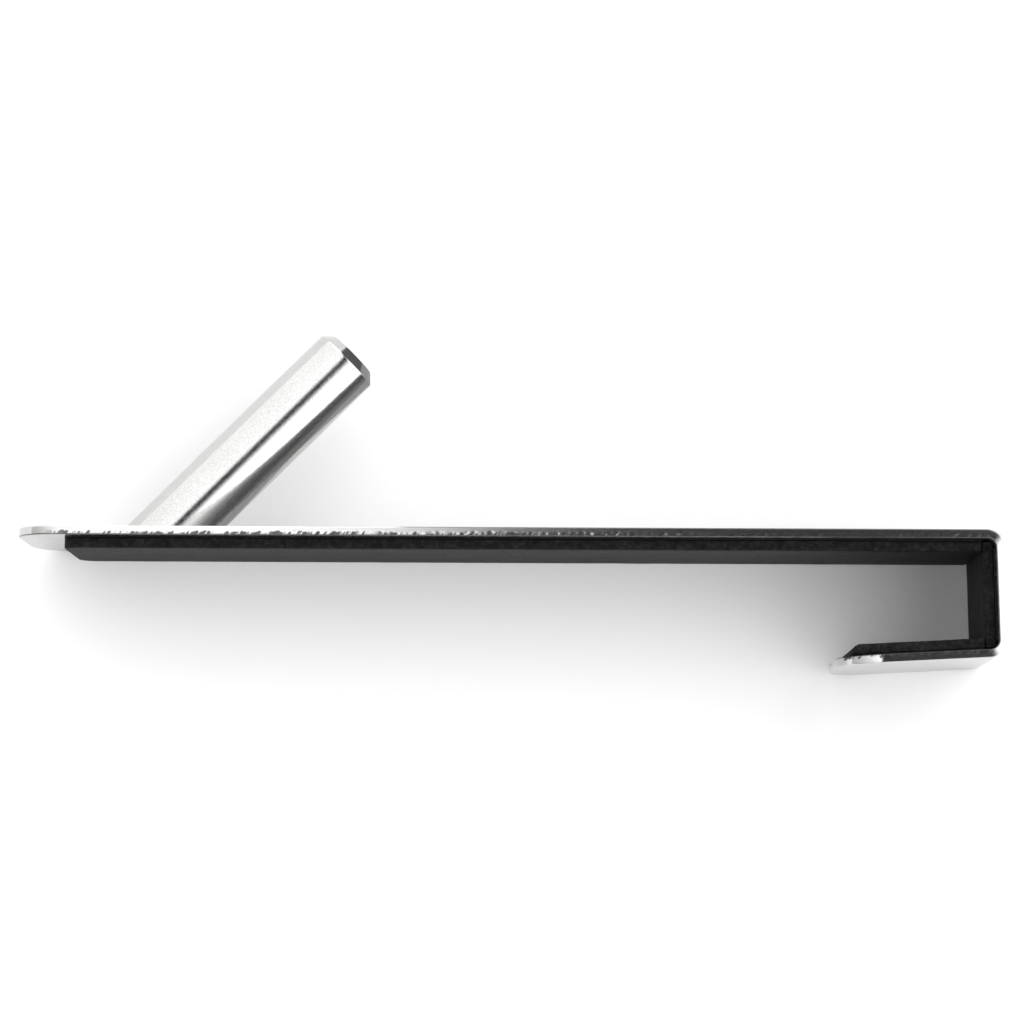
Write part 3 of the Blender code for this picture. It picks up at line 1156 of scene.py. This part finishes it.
def light_room(scene, settings):
    """Soft white light from all round, brighter towards +X and +Y, with a dark patch overhead and dimmer low
    down beyond the bridge."""
    world = bpy.data.worlds.new("Soft room")
    world.use_nodes = True
    graph = Graph(world.node_tree)
    direction = graph.add("ShaderNodeTexCoord", out="Generated")
    x, y, z = graph.split(direction)
    height = z.or_more(LEAN_FLOOR)
    lean_x, lean_y = x / height, y / height
    overhead = lean_x.step(*PATCH_LEFT) * lean_x.step(*PATCH_RIGHT, 1.0, 0.0)
    overhead = overhead * abs(lean_y).step(*PATCH_FRONT, 1.0, 0.0) * z.step(*PATCH_BOTTOM)
    horizon = z.step(*HORIZON, *HORIZON_LIGHT)
    beyond_bridge = x.step(*BRIDGE_SIDE) * z.step(*BRIDGE_SIDE_TOP, BRIDGE_SIDE_DIM, 0.0)
    slope = (1 + y * LIGHT_TO_Y + x * LIGHT_TO_X).or_more(horizon) * (1 - beyond_bridge)
    brightness = settings.light * slope * (1 - overhead * (1 - settings.shade))
    background = world.node_tree.nodes["Background"]
    graph.feed(background.inputs["Strength"], brightness)
    graph.feed(background.inputs["Color"], (1, 1, 1))
    scene.world = world


def place_camera(scene, settings):
    place = Vector(settings.camera_place)
    forward = (Vector(settings.camera_aim) - place).normalized()
    right = forward.cross(Vector((0, 1, 0))).normalized()
    up = right.cross(forward)
    turned = Matrix((right, up, -forward)).transposed().to_4x4()
    data = bpy.data.cameras.new("Camera")
    data.lens = settings.camera_lens
    camera = bpy.data.objects.new("Camera", data)
    camera.matrix_world = Matrix.Translation(place) @ turned @ Matrix.Rotation(-settings.camera_roll, 4, "Z")
    scene.collection.objects.link(camera)
    scene.camera = camera


# ---------------------------------------------------------------------------------------------------------
# Panel, registration and run
# ---------------------------------------------------------------------------------------------------------


class HOOK_PT_pieces(bpy.types.Panel):
    """The hook's pieces and what can be changed on them"""

    bl_label = "Over-panel hook"
    bl_idname = "HOOK_PT_pieces"
    bl_space_type = "VIEW_3D"
    bl_region_type = "UI"
    bl_category = "Hook"

    def draw(self, context):
        for key, operator in PANEL_ROWS:
            box = self.layout.box()
            box.operator(operator.bl_idname)
            if key:
                settings = getattr(context.scene, key)
                for name in type(settings).__annotations__:
                    box.prop(settings, name)


SETTINGS = {
    "hook_strap": StrapSettings,
    "hook_foam": FoamSettings,
    "hook_peg": PegSettings,
    "hook_stage": StageSettings,
}
PANEL_ROWS = (
    ("hook_strap", HOOK_OT_strap),
    ("hook_foam", HOOK_OT_foam),
    (None, HOOK_OT_film),
    ("hook_peg", HOOK_OT_peg),
    (None, HOOK_OT_screw),
    ("hook_stage", HOOK_OT_stage),
)
CLASSES = (*SETTINGS.values(), *[operator for key, operator in PANEL_ROWS], HOOK_PT_pieces)


def register():
    for item in CLASSES:
        bpy.utils.register_class(item)
    for key, group in SETTINGS.items():
        setattr(bpy.types.Scene, key, PointerProperty(type=group))


def unregister():
    for key in SETTINGS:
        delattr(bpy.types.Scene, key)
    for item in reversed(CLASSES):
        bpy.utils.unregister_class(item)


def main():
    register()
    bpy.ops.hook.stage()
    bpy.ops.hook.strap()
    bpy.ops.hook.foam()
    bpy.ops.hook.film()
    bpy.ops.hook.peg()
    bpy.ops.hook.screw()


if __name__ == "__main__":
    main()
